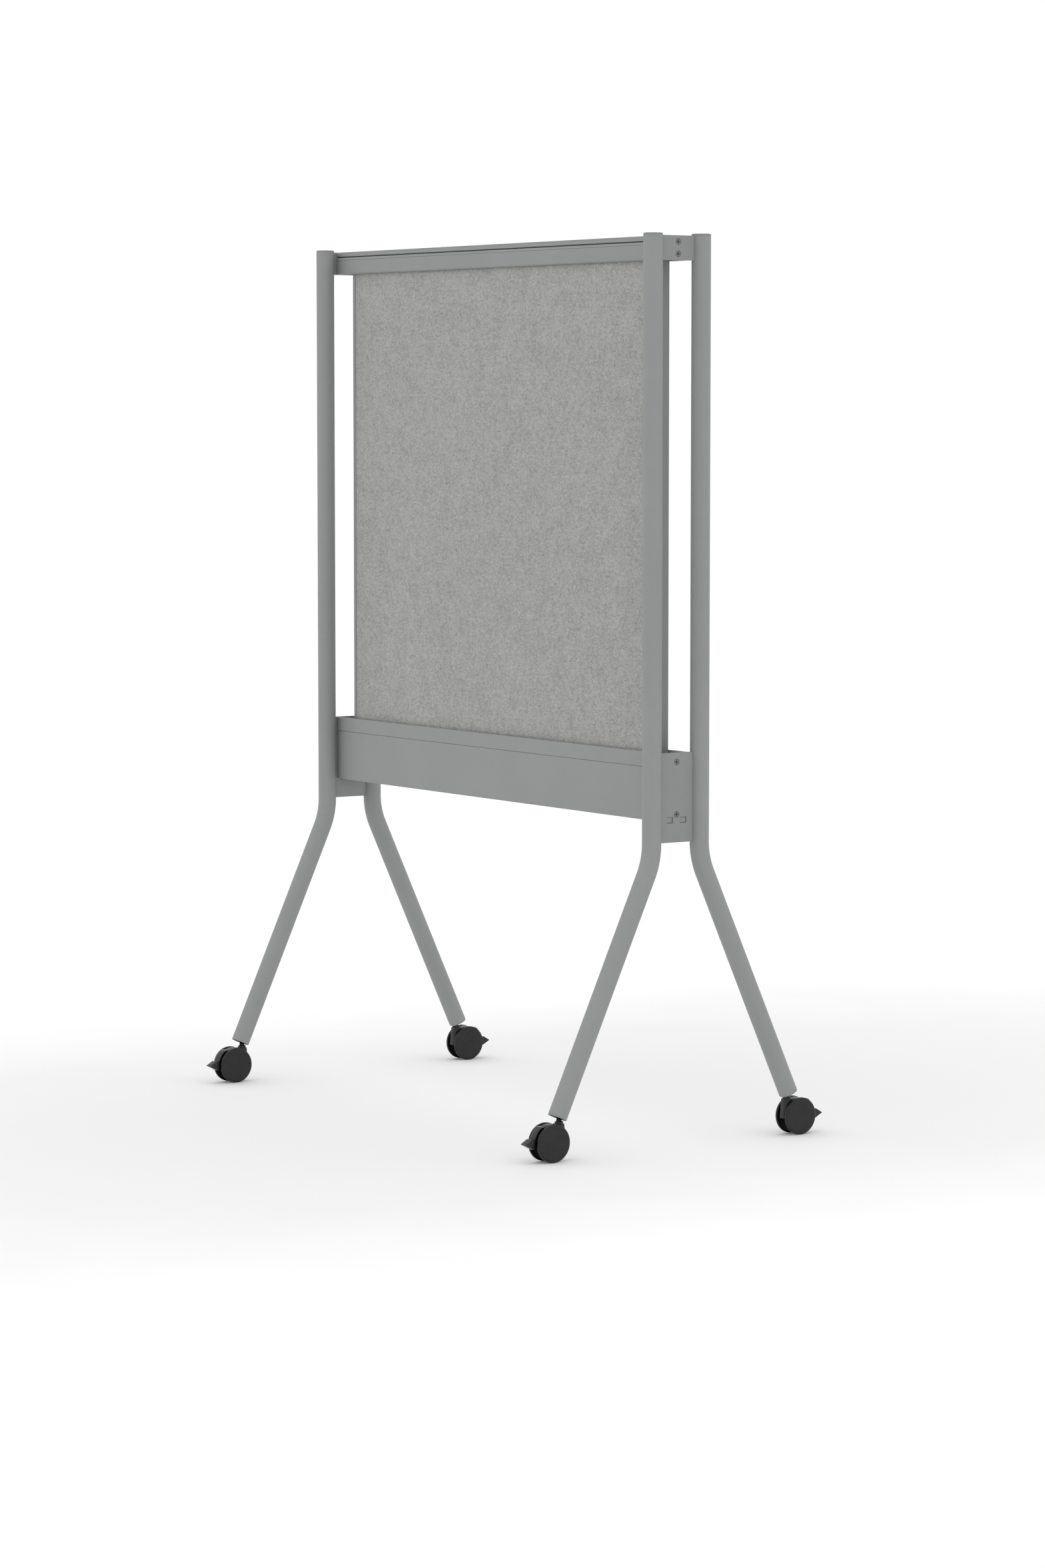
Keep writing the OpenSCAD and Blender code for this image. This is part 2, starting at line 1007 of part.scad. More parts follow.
post(-1, -1);  // post_front_left
post(1, -1);  // post_front_right
post(-1, 1);  // post_rear_left
post(1, 1);  // post_rear_right
post_caps();
upper_plate(-1);  // upper_plate_left
upper_plate(1);  // upper_plate_right
lower_plate(-1);  // lower_plate_left
lower_plate(1);  // lower_plate_right
top_rail();
frame_screws();
trough_channel();
trough_edge(-1);  // trough_edge_front
trough_edge(1);  // trough_edge_rear
trough_end(-1);  // trough_end_left
trough_end(1);  // trough_end_right
panel_core();
panel_fabric(-1);  // panel_fabric_front
panel_fabric(1);  // panel_fabric_rear
panel_side_trim(-1);  // panel_trim_left
panel_side_trim(1);  // panel_trim_right
panel_trim_top();
panel_trim_bottom();
panel_saddles();
saddle_screws();
leg_plugs();
caster_stems();
stem_rings();
housing(-1, -1);  // fl_housing
axle(-1, -1);  // fl_axle
wheel(-1, -1, -1);  // fl_wheel_left
wheel(-1, -1, 1);  // fl_wheel_right
pedal(-1, -1);  // fl_pedal
pedal_pin(-1, -1);  // fl_pedal_pin
housing(1, -1);  // fr_housing
axle(1, -1);  // fr_axle
wheel(1, -1, -1);  // fr_wheel_left
wheel(1, -1, 1);  // fr_wheel_right
pedal(1, -1);  // fr_pedal
pedal_pin(1, -1);  // fr_pedal_pin
housing(-1, 1);  // rl_housing
axle(-1, 1);  // rl_axle
wheel(-1, 1, -1);  // rl_wheel_left
wheel(-1, 1, 1);  // rl_wheel_right
pedal(-1, 1);  // rl_pedal
pedal_pin(-1, 1);  // rl_pedal_pin
housing(1, 1);  // rr_housing
axle(1, 1);  // rr_axle
wheel(1, 1, -1);  // rr_wheel_left
wheel(1, 1, 1);  // rr_wheel_right
pedal(1, 1);  // rr_pedal
pedal_pin(1, 1);  // rr_pedal_pin
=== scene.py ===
"""Mobile partition wall: looks around the CAD frame. Metres, X to the right, -Y front, Z up."""

import math

import bmesh
import bpy
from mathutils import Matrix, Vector, noise


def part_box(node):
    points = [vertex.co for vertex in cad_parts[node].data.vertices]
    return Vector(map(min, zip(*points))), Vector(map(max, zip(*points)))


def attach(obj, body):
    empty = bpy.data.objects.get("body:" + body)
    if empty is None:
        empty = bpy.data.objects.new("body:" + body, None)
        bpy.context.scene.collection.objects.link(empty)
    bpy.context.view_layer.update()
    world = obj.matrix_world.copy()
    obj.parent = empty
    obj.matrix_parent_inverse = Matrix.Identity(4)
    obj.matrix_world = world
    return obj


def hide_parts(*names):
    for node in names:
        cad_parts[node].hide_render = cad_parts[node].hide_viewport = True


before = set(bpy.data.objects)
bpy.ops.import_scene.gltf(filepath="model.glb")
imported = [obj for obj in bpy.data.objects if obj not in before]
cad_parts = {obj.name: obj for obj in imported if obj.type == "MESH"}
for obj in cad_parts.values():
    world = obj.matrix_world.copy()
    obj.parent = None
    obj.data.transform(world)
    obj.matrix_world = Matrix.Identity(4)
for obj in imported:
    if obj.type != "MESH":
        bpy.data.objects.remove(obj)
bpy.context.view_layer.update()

MM = 0.001
FRONT, REAR = -1, 1
CORNERS = (
    ("fl", FRONT, "front_left"),
    ("fr", FRONT, "front_right"),
    ("rl", REAR, "rear_left"),
    ("rr", REAR, "rear_right"),
)

# ---------------------------------------------------------------- node materials


class Nodes:
    """A node tree built step by step."""

    def __init__(self, owner):
        owner.use_nodes = True
        self.tree = owner.node_tree
        self.tree.nodes.clear()

    def node(self, kind, **inputs):
        """Adds a node. p_NAME sets a property, i3 sets input 3, any other key an input by name."""
        n = self.tree.nodes.new(kind)
        for key, value in inputs.items():
            if key.startswith("p_"):
                setattr(n, key[2:], value)
        for key, value in inputs.items():
            if not key.startswith("p_"):
                by_number = key[0] == "i" and key[1:].isdigit()
                self.set(n.inputs[int(key[1:]) if by_number else key.replace("_", " ")], value)
        return n

    def set(self, socket, value):
        """Links an output to a socket, or gives the socket a plain value."""
        if isinstance(value, bpy.types.NodeSocket):
            self.tree.links.new(value, socket)
        else:
            socket.default_value = value

    def math(self, op, a, b=0.0):
        return self.node("ShaderNodeMath", p_operation=op, i0=a, i1=b).outputs[0]

    def weigh(self, *parts):
        """The sum of values, each given with its share."""
        total = None
        for value, share in parts:
            part = self.math("MULTIPLY", value, share)
            total = part if total is None else self.math("ADD", total, part)
        return total

    def remap(self, value, lo, hi, to_lo=0.0, to_hi=1.0):
        return self.node("ShaderNodeMapRange", i0=value, i1=lo, i2=hi,
                         i3=to_lo, i4=to_hi).outputs[0]


class Mat(Nodes):
    """A node material, with coordinates in metres in the shared frame."""

    def __init__(self, name):
        self.mat = bpy.data.materials.new(name)
        super().__init__(self.mat)
        self.out = self.node("ShaderNodeOutputMaterial")
        self.bsdf = self.node("ShaderNodeBsdfPrincipled")
        self.tree.links.new(self.bsdf.outputs[0], self.out.inputs[0])
        self.coord = self.node("ShaderNodeTexCoord").outputs["Object"]

    def stretched(self, x, y, z):
        return self.node("ShaderNodeMapping", Vector=self.coord, Scale=(x, y, z)).outputs[0]

    def noise(self, scale, detail, rough, vector=None, warp=0.0):
        return self.node("ShaderNodeTexNoise", Scale=scale, Detail=detail, Roughness=rough,
                         Distortion=warp, Vector=vector or self.coord).outputs[0]

    def cells(self, scale):
        return self.node("ShaderNodeTexVoronoi", Scale=scale, Vector=self.coord).outputs["Distance"]

    def mix(self, share, a, b):
        """From colour a to colour b. Each is a plain colour or an output."""
        n = self.node("ShaderNodeMix", p_data_type="RGBA", i0=share)
        for i, value in ((6, a), (7, b)):
            plain = not isinstance(value, bpy.types.NodeSocket)
            self.set(n.inputs[i], (*value, 1.0) if plain else value)
        return n.outputs[2]

    def soft_edges(self, radius):
        """A normal that rounds edges, and a mask that is 1 along them."""
        edge = self.node("ShaderNodeBevel", p_samples=6, Radius=radius).outputs[0]
        flat = self.node("ShaderNodeNewGeometry").outputs["Normal"]
        dot = self.node("ShaderNodeVectorMath", p_operation="DOT_PRODUCT", i0=edge, i1=flat)
        return edge, self.remap(dot.outputs["Value"], 0.995, 0.75)

    def bump(self, height, distance, strength, normal=None):
        n = self.node("ShaderNodeBump", Strength=strength, Distance=distance, Height=height)
        if normal is not None:
            self.set(n.inputs["Normal"], normal)
        return n.outputs[0]

    def surface(self, **inputs):
        """Fills in the Principled shader and returns the material."""
        for key, value in inputs.items():
            socket = self.bsdf.inputs[key.replace("_", " ")]
            self.set(socket, (*value, 1.0) if isinstance(value, tuple) else value)
        return self.mat


def shade(colour, factor):
    """A colour made darker or lighter, at most white."""
    return tuple(min(1, c * factor) for c in colour)


def rail_marks(m, low, high):
    """On the top rail, a painted shade mask for the groove its lip ends in, and how far its long
    edges lean.
    """
    edge, groove_up, groove_half = 7 * MM, 31 * MM, 0.5 * MM
    height = m.node("ShaderNodeSeparateXYZ", Vector=m.coord).outputs[2]
    upper = m.math("POWER", m.remap(height, high - edge, high), 2)
    lower = m.math("POWER", m.remap(height, low + edge, low), 2)
    off_groove = m.math("ABSOLUTE", m.math("SUBTRACT", height, low + groove_up))
    groove = m.remap(off_groove, 1.5 * groove_half, 0.5 * groove_half)
    lean = m.math("SUBTRACT", m.math("MULTIPLY", upper, 1.4), lower)
    return groove, m.node("ShaderNodeCombineXYZ", Z=lean).outputs[0]


def powder_coat(name, colour, spread=0.05, rough=0.52, edge=0.8 * MM, rail=None, recess=0.0):
    """Fine-textured powder coat: orange peel, tiny grain, faint clouds, painted highlights along
    the edges.

    rail is the lowest and highest point of the top rail, whose long edges are rounder and
    whose lip ends in a fine groove, drawn as a line of painted shade. recess is the size of the
    hollows darkened with painted shade, such as a screw's socket.
    """
    m = Mat(name)
    cloud = m.noise(7, 3, 0.6)
    grain = m.noise(420, 3, 0.6)
    tone = m.weigh((cloud, 0.5), (grain, 0.5))
    base = m.mix(m.remap(tone, 0.3, 0.7), shade(colour, 1 - spread), shade(colour, 1 + spread))
    normal, rim = m.soft_edges(edge)
    # painted highlight: along the edges the colour is mixed towards a paler grey
    base = m.mix(m.math("MULTIPLY", rim, 0.12), base, shade(colour, 1.25))
    if recess:
        # painted shade: hollows found by ambient occlusion are mixed towards near black
        lit = m.node("ShaderNodeAmbientOcclusion", p_samples=8, Distance=recess).outputs["AO"]
        base = m.mix(m.remap(lit, 0.75, 0.45), base, (0.012, 0.012, 0.012))
    if rail:
        groove, lean = rail_marks(m, *rail)
        # painted shade: a dark line along the rail where the groove under the lip holds shade
        base = m.mix(m.math("MULTIPLY", groove, 0.5), base, (0.02, 0.02, 0.02))
        leaned = m.node("ShaderNodeVectorMath", p_operation="ADD", i0=normal, i1=lean).outputs[0]
        normal = m.node("ShaderNodeVectorMath", p_operation="NORMALIZE", i0=leaned).outputs[0]
    peel = m.noise(900, 2, 0.5)
    height = m.weigh((peel, 0.7), (m.cells(2600), 0.3))
    roughness = m.remap(grain, 0.3, 0.7, rough - 0.05, rough + 0.07)
    return m.surface(
        Base_Color=base,
        Roughness=m.math("SUBTRACT", roughness, m.math("MULTIPLY", rim, 0.06)),
        Normal=m.bump(height, 0.06 * MM, 0.55, normal),
        Specular_IOR_Level=0.42,
    )


def moulded_plastic(name, colour, rough, grain_size, edge=0.5 * MM, spread=0.16, shine=0.45,
                    painted_sheen=0.0, shaded_inside=None):
    """Spark-eroded moulded plastic: fine leathery grain, faint flow marks, painted highlights on
    the edges.

    painted_sheen is how far the grain is painted paler at a flat angle: a painted reflection.
    shaded_inside(m) is 1 where painted shade makes the plastic dark and dull, deep inside a caster.
    """
    m = Mat(name)
    grain = m.noise(grain_size, 3, 0.65)
    flow = m.noise(45, 2, 0.5, warp=0.8)
    tone = m.weigh((grain, 0.65), (flow, 0.35))
    base = m.mix(m.remap(tone, 0.35, 0.65), shade(colour, 1 - spread), shade(colour, 1 + spread))
    rounded, rim = m.soft_edges(edge)
    # painted highlight: along the edges the colour is mixed towards a paler tone
    base = m.mix(m.math("MULTIPLY", rim, 0.25), base, shade(colour, 1.8))
    if painted_sheen:
        # painted reflection: at flat angles the colour is mixed towards white
        turned = m.node("ShaderNodeLayerWeight", Blend=0.5).outputs["Facing"]
        flat_angle = m.math("POWER", m.remap(turned, 0.72, 0.95), 2)
        base = m.mix(m.math("MULTIPLY", flat_angle, painted_sheen), base, (1.0, 1.0, 1.0))
    if shaded_inside:
        # painted shade: deep inside the caster the plastic is made near black and most of its shine
        # taken away
        inside = shaded_inside(m)
        base = m.mix(inside, base, (0.003, 0.003, 0.003))
        open_share = m.math("SUBTRACT", 1.0, m.math("MULTIPLY", inside, 0.9))
        shine = m.math("MULTIPLY", open_share, shine)
    height = m.weigh((grain, 0.6), (m.cells(grain_size * 1.8), 0.4))
    return m.surface(
        Base_Color=base,
        Roughness=m.remap(grain, 0.35, 0.65, rough - 0.05, rough + 0.09),
        Normal=m.bump(height, 0.09 * MM, 0.6, rounded),
        Specular_IOR_Level=shine,
    )


def worked_metal(name, colour, rough):
    """Plated or blackened turned steel: fine turning marks and a cloudy surface."""
    m = Mat(name)
    marks = m.noise(300, 2, 0.6, vector=m.stretched(1, 1, 9))
    cloud = m.noise(160, 3, 0.6)
    base = m.mix(m.remap(cloud, 0.35, 0.65), shade(colour, 0.86), shade(colour, 1.06))
    rounded = m.soft_edges(0.3 * MM)[0]
    return m.surface(
        Base_Color=base,
        Metallic=1.0,
        Roughness=m.remap(marks, 0.3, 0.7, rough - 0.06, rough + 0.1),
        Normal=m.bump(marks, 0.02 * MM, 0.4, rounded),
    )


def felt_cloth(name, colour):
    """Pressed melange felt: fibres at several sizes, tufts, dark and pale flecks, soft sheen."""
    m = Mat(name)
    wide = m.noise(26, 3, 0.55)
    blotch = m.noise(105, 3, 0.6, warp=0.4)
    tuft = m.noise(250, 3, 0.6, vector=m.stretched(0.7, 1.0, 1.0), warp=0.6)
    fibre = m.noise(640, 2, 0.6, vector=m.stretched(0.9, 1.0, 0.8), warp=1.0)
    cross = m.noise(640, 2, 0.6, vector=m.stretched(0.45, 1.0, 1.0), warp=1.0)
    tone = m.weigh((wide, 0.10), (blotch, 0.24), (tuft, 0.44), (fibre, 0.10), (cross, 0.12))
    base = m.mix(m.remap(tone, 0.40, 0.60), shade(colour, 0.73), shade(colour, 1.25))
    fleck = m.noise(330, 1, 0.5, vector=m.stretched(0.7, 1.0, 1.0), warp=0.7)
    base = m.mix(m.remap(fleck, 0.62, 0.74, 0.0, 0.5), base, shade(colour, 0.45))
    pale = m.noise(300, 1, 0.5, vector=m.stretched(0.6, 1.0, 1.0), warp=0.8)
    base = m.mix(m.remap(pale, 0.66, 0.76, 0.0, 0.45), base, shade(colour, 1.5))
    height = m.weigh((tuft, 0.55), (m.math("ADD", fibre, cross), 0.3))
    return m.surface(
        Base_Color=base,
        Roughness=0.95,
        Specular_IOR_Level=0.12,
        Sheen_Weight=0.25,
        Sheen_Roughness=0.6,
        Sheen_Tint=(0.9, 0.89, 0.86),
        Normal=m.bump(height, 0.35 * MM, 0.4),
    )


def fibre_board(name, colour):
    """Pressed wood-fibre board."""
    m = Mat(name)
    chips = m.cells(260)
    strands = m.noise(500, 3, 0.7, vector=m.stretched(0.35, 1.0, 1.0))
    base = m.mix(m.remap(m.math("ADD", chips, strands), 0.5, 1.2), shade(colour, 0.75), colour)
    return m.surface(Base_Color=base, Roughness=0.85, Normal=m.bump(strands, 0.1 * MM, 0.5))


# The casters mirror one another, so one axle's middle, taken without signs, serves all four.
AXLE_X, AXLE_Y, AXLE_Z = (abs(a + b) / 2 for a, b in zip(*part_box("fr_axle")))


def between_discs(m):
    """1 on the inner sides of a wheel disc, where painted shade goes."""
    x = m.node("ShaderNodeSeparateXYZ", Vector=m.coord).outputs[0]
    across = m.math("ABSOLUTE", m.math("SUBTRACT", m.math("ABSOLUTE", x), AXLE_X))
    return m.remap(across, 13.0 * MM, 12.6 * MM)


def under_hood(m):
    """1 nearer to the axle than the hood's underside, which steps outward in front of the ramp;
    there painted shade goes.
    """
    low_inside, front_step, ramp_slope = 33.4 * MM, 4.6 * MM, 1.37
    place = m.node("ShaderNodeSeparateXYZ", Vector=m.coord)
    out = m.math("SUBTRACT", m.math("ABSOLUTE", place.outputs[1]), AXLE_Y)
    up = m.math("SUBTRACT", place.outputs[2], AXLE_Z)
    squares = m.math("ADD", m.math("MULTIPLY", out, out), m.math("MULTIPLY", up, up))
    below_ramp = m.math("LESS_THAN", up, m.math("MULTIPLY", out, ramp_slope))
    limit = m.math("ADD", m.math("MULTIPLY", below_ramp, front_step), low_inside)
    return m.remap(m.math("SUBTRACT", m.math("SQRT", squares), limit), 0.3 * MM, 0.0)


GREY = (0.268, 0.280, 0.275)
RAIL_HEIGHTS = [v.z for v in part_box("top_rail")]
LOOKS = {
    "frame_paint": powder_coat("frame_paint_coat", GREY),
    # painted shade: the top rail and the end plates take darker copies of the frame's grey,
    # standing in for the lesser light on them
    "rail_paint": powder_coat("rail_coat_painted_shade", shade(GREY, 0.98), rail=RAIL_HEIGHTS),
    "plate_paint": powder_coat("plate_coat_painted_shade", shade(GREY, 0.93)),
    "cap_plastic": moulded_plastic("cap_plastic_grain", (0.235, 0.246, 0.242), 0.5, 1100,
                                   edge=0.6 * MM, spread=0.05),
    "screw_paint": powder_coat("screw_paint_coat", (0.150, 0.157, 0.154), 0.06, 0.42, 0.3 * MM,
                               recess=3 * MM),
    "panel_trim": powder_coat("panel_trim_coat", (0.262, 0.274, 0.270), 0.05, 0.45, 0.6 * MM),
    "felt": felt_cloth("melange_felt", (0.326, 0.327, 0.315)),
    "board": fibre_board("fibre_board", (0.42, 0.34, 0.23)),
    "black_plastic": moulded_plastic("black_plastic_grain", (0.008, 0.008, 0.008), 0.5, 900,
                                     spread=0.3),
    # painted shade deep in the caster hoods and between the wheel discs
    "caster_plastic": moulded_plastic("caster_plastic_grain", (0.006, 0.006, 0.006), 0.40, 560,
                                      spread=0.8, shine=0.5, painted_sheen=0.34, shaded_inside=under_hood),
    "wheel_plastic": moulded_plastic("wheel_plastic_grain", (0.005, 0.005, 0.005), 0.42, 480,
                                     spread=1.0, painted_sheen=0.34, shaded_inside=between_discs),
    "steel": worked_metal("zinc_steel", (0.62, 0.63, 0.64), 0.32),
    "dark_steel": worked_metal("dark_steel", (0.035, 0.035, 0.037), 0.5),
}

# ---------------------------------------------------------------- mesh tools


def finish_mesh(name, bm, sharp=32):
    """A smooth-shaded mesh whose edges stay sharp where they turn by more than sharp degrees."""
    bmesh.ops.remove_doubles(bm, verts=bm.verts, dist=1e-6)
    bmesh.ops.recalc_face_normals(bm, faces=bm.faces)
    mesh = bpy.data.meshes.new(name)
    bm.to_mesh(mesh)
    bm.free()
    mesh.shade_smooth()
    mesh.set_sharp_from_angle(angle=math.radians(sharp))
    return mesh


def piece(name, bm, body, slot, replaces, sharp=32):
    """One visible piece that rides on a body and takes the place of a CAD node."""
    obj = bpy.data.objects.new(name, finish_mesh(name, bm, sharp))
    bpy.context.scene.collection.objects.link(obj)
    obj.data.materials.append(LOOKS[slot])
    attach(obj, body)
    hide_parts(replaces)


def skin(bm, rings, closed=False, caps=True):
    """Joins rings of points, each a list of the same length, with faces."""
    made = [[bm.verts.new(p) for p in ring] for ring in rings]
    pairs = list(zip(made, made[1:])) + ([(made[-1], made[0])] if closed else [])
    for a, b in pairs:
        for i in range(len(a)):
            j = (i + 1) % len(a)
            bm.faces.new((a[i], a[j], b[j], b[i]))
    if caps and not closed:
        bm.faces.new(made[0])
        bm.faces.new(made[-1])


def arc(cx, cy, r, start, end, steps):
    """Points on a circle from start to end degrees."""
    turns = (math.radians(start + (end - start) * i / steps) for i in range(steps + 1))
    return [(cx + r * math.cos(a), cy + r * math.sin(a)) for a in turns]


def in_mm(*points):
    """Outline points given in millimetres."""
    return [(u * MM, v * MM) for u, v in points]


def spokes(side, up, count):
    """Unit directions evenly around a circle, each with its angle."""
    turns = (2 * math.pi * k / count for k in range(count))
    return [(a, side * math.cos(a) + up * math.sin(a)) for a in turns]


def lathe(bm, profile, origin, axis, around):
    """Turns a closed (radius, height) outline about an axis through origin."""
    axis = Vector(axis).normalized()
    side = axis.orthogonal().normalized()
    origin = Vector(origin)
    made = [[bm.verts.new(origin + out * r + axis * h) for r, h in profile]
            for _, out in spokes(side, axis.cross(side), around)]
    touching = 1e-7
    for k in range(around):
        a, b = made[k], made[(k + 1) % around]
        for i in range(len(profile)):
            j = (i + 1) % len(profile)
            if profile[i][0] < touching and profile[j][0] < touching:
                continue
            corners = []
            for v in (a[i], a[j], b[j], b[i]):
                if not any((v.co - q.co).length < touching for q in corners):
                    corners.append(v)
            if len(corners) > 2:
                bm.faces.new(corners)


def prism(outline, place, low, high, bevel=0.0, segments=3):
    """Extrudes an outline between low and high. place(u, v, w) puts a point in space."""
    bm = bmesh.new()
    skin(bm, [[place(u, v, w) for u, v in outline] for w in (low, high)])
    bmesh.ops.recalc_face_normals(bm, faces=bm.faces)
    if bevel:
        creased = math.radians(24)
        edges = [e for e in bm.edges if len(e.link_faces) == 2 and e.calc_face_angle(0) > creased]
        bmesh.ops.bevel(bm, geom=edges, offset=bevel, segments=segments, profile=0.5,
                        affect="EDGES", clamp_overlap=True)
    return bm


def join(parts):
    """One bmesh from several."""
    whole = bmesh.new()
    for bm in parts:
        mesh = bpy.data.meshes.new("part")
        bm.to_mesh(mesh)
        bm.free()
        whole.from_mesh(mesh)
        bpy.data.meshes.remove(mesh)
    return whole


# ---------------------------------------------------------------- posts, caps, plugs

SPLAY = math.radians(24.6)
BEND_R = 150 * MM
WALL = 2 * MM
PLUG_GAP = 0.05 * MM


def post_path(node, side_y):
    """A post's centre points and directions from the top down, its radius, and its leg's end."""
    lo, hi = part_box(node)
    r = (hi.x - lo.x) / 2
    x = (hi.x + lo.x) / 2
    near, far = (lo.y, hi.y) if side_y > 0 else (-hi.y, -lo.y)
    upright_y = near + r
    end_y = far - r * math.cos(SPLAY)
    end_z = lo.z + r * math.sin(SPLAY)
    knee_z = end_z + (end_y - upright_y) / math.tan(SPLAY)
    bend_top = knee_z + BEND_R * math.tan(SPLAY / 2)
    down = Vector((0, 0, -1))
    slant = Vector((0, side_y * math.sin(SPLAY), -math.cos(SPLAY)))
    path = [(Vector((x, side_y * upright_y, z)), down)
            for z in (hi.z, (hi.z + knee_z) / 2, bend_top + 2 * MM)]
    steps = 18
    for i in range(steps + 1):
        a = SPLAY * i / steps
        y = upright_y + BEND_R * (1 - math.cos(a))
        p = Vector((x, side_y * y, bend_top - BEND_R * math.sin(a)))
        path.append((p, Vector((0, side_y * math.sin(a), -math.cos(a)))))
    start = path[-1][0]
    end = Vector((x, side_y * end_y, end_z))
    path += [(start.lerp(end, t), slant) for t in (0.02, 0.5, 0.98, 1.0)]
    return path, r, end, slant


def post(side_y, name):
    """One tube with its wall and softened ends. Returns its radius, its end and the leg's slant."""
    node = "post_" + name
    path, r, end, slant = post_path(node, side_y)
    around = 72
    soft = 0.45 * MM
    inside = r - WALL

    def ring(centre, direction, radius):
        side = Vector((1, 0, 0))
        up = direction.cross(side)
        turns = (2 * math.pi * k / around for k in range(around))
        return [centre + side * radius * math.cos(a) + up * radius * math.sin(a) for a in turns]

    (top, down), run = path[0], path[1:-1]
    rings = [
        ring(top, down, inside),
        ring(top, down, r - soft * 0.4),
        ring(top + down * soft * 0.4, down, r),
        *(ring(p, d, r) for p, d in run),
        ring(end - slant * soft, slant, r),
        ring(end - slant * soft * 0.3, slant, r - soft * 0.3),
        ring(end, slant, r - soft),
        ring(end, slant, inside + soft * 0.6),
        ring(end - slant * soft * 0.6, slant, inside),
        *(ring(p, d, inside) for p, d in reversed(run)),
    ]
    bm = bmesh.new()
    skin(bm, rings, closed=True)
    piece("tube_" + name, bm, "frame", "frame_paint", node)
    return r, end, slant


def plug_profile(r):
    """A recessed plug with a raised rim, and a hole for the caster's stem."""
    deep, hole, length = 1.5 * MM, 5.6 * MM, 30 * MM
    raised = deep - 0.25 * MM
    return [(hole, deep), (r - 3.2 * MM, deep), (r - 2.9 * MM, raised), (r - 0.8 * MM, raised),
            (r, deep + 0.5 * MM), (r, length), (hole, length)]


def cap_profile(r, low, high):
    """A flat cap with a rounded rim, seated on the post's top and plugged into it."""
    soft, seat = 2 * MM, 0.15 * MM
    foot = low - 20 * MM
    inside = r - WALL - PLUG_GAP
    return ([(0, foot), (inside, foot), (inside, low), (r - seat, low), (r, low + seat)]
            + [(r - soft + x, y) for x, y in arc(0, high - soft, soft, 0, 90, 8)]
            + [(r * 0.55, high - 0.05 * MM), (0, high - 0.12 * MM)])


leg_ends = [post(side_y, name) for _, side_y, name in CORNERS]

plugs = bmesh.new()
for r, end, slant in leg_ends:
    lathe(plugs, plug_profile(r - WALL - PLUG_GAP), end, -slant, 64)
piece("plugs_in_legs", plugs, "frame", "black_plastic", "leg_plugs")

caps = bmesh.new()
cap_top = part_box("post_caps")[1].z
for _, side_y, name in CORNERS:
    lo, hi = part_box("post_" + name)
    r = (hi.x - lo.x) / 2
    centre = ((lo.x + hi.x) / 2, (lo.y + r) if side_y > 0 else (hi.y - r), 0)
    lathe(caps, cap_profile(r, hi.z, cap_top), centre, (0, 0, 1), 80)
piece("caps_on_posts", caps, "frame", "cap_plastic", "post_caps")

# ---------------------------------------------------------------- screws


def socket_screw(bm, origin, axis):
    """A flush M6 socket screw with a six-sided recess, head face at origin, axis pointing out."""
    head_r, head_rim, body_r, length = 6 * MM, 0.5 * MM, 3 * MM, 22 * MM
    socket, deep, soft = 2.3 * MM, 2.5 * MM, 0.25 * MM
    axis, origin = Vector(axis), Vector(origin)
    side = Vector((0, 0, 1))
    around = spokes(side, axis.cross(side), 48)
    sixth = math.pi / 3

    def circle(r, h):
        return [origin + out * r + axis * h for _, out in around]

    def hexagon(r, h):
        flat = r * math.cos(sixth / 2)
        return [origin + out * (flat / math.cos(a % sixth - sixth / 2)) + axis * h
                for a, out in around]

    skin(bm, [
        circle(body_r * 0.7, -length),
        circle(body_r, -length + 1 * MM),
        circle(body_r, -head_rim - (head_r - body_r)),
        circle(head_r, -head_rim),
        circle(head_r, -soft),
        circle(head_r - soft, 0),
        circle(socket * 1.35, 0.04 * MM),
        hexagon(socket + 0.15 * MM, 0),
        hexagon(socket, -0.15 * MM),
        hexagon(socket, -deep),
        circle(socket * 0.3, -deep - 0.5 * MM),
    ])


screws = bmesh.new()
head_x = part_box("frame_screws")[1].x
rail_mid = sum(RAIL_HEIGHTS) / 2
screw_heights = (
    rail_mid - 11.75 * MM,
    rail_mid + 11.75 * MM,
    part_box("trough_channel")[0].z + 14 * MM,
    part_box("lower_plate_right")[1].z - 18 * MM,
)
for side_x in (-1, 1):
    for z in screw_heights:
        socket_screw(screws, (side_x * head_x, 0, z), (side_x, 0, 0))
piece("screws_in_end_plates", screws, "frame", "screw_paint", "frame_screws")

# ---------------------------------------------------------------- felt faces


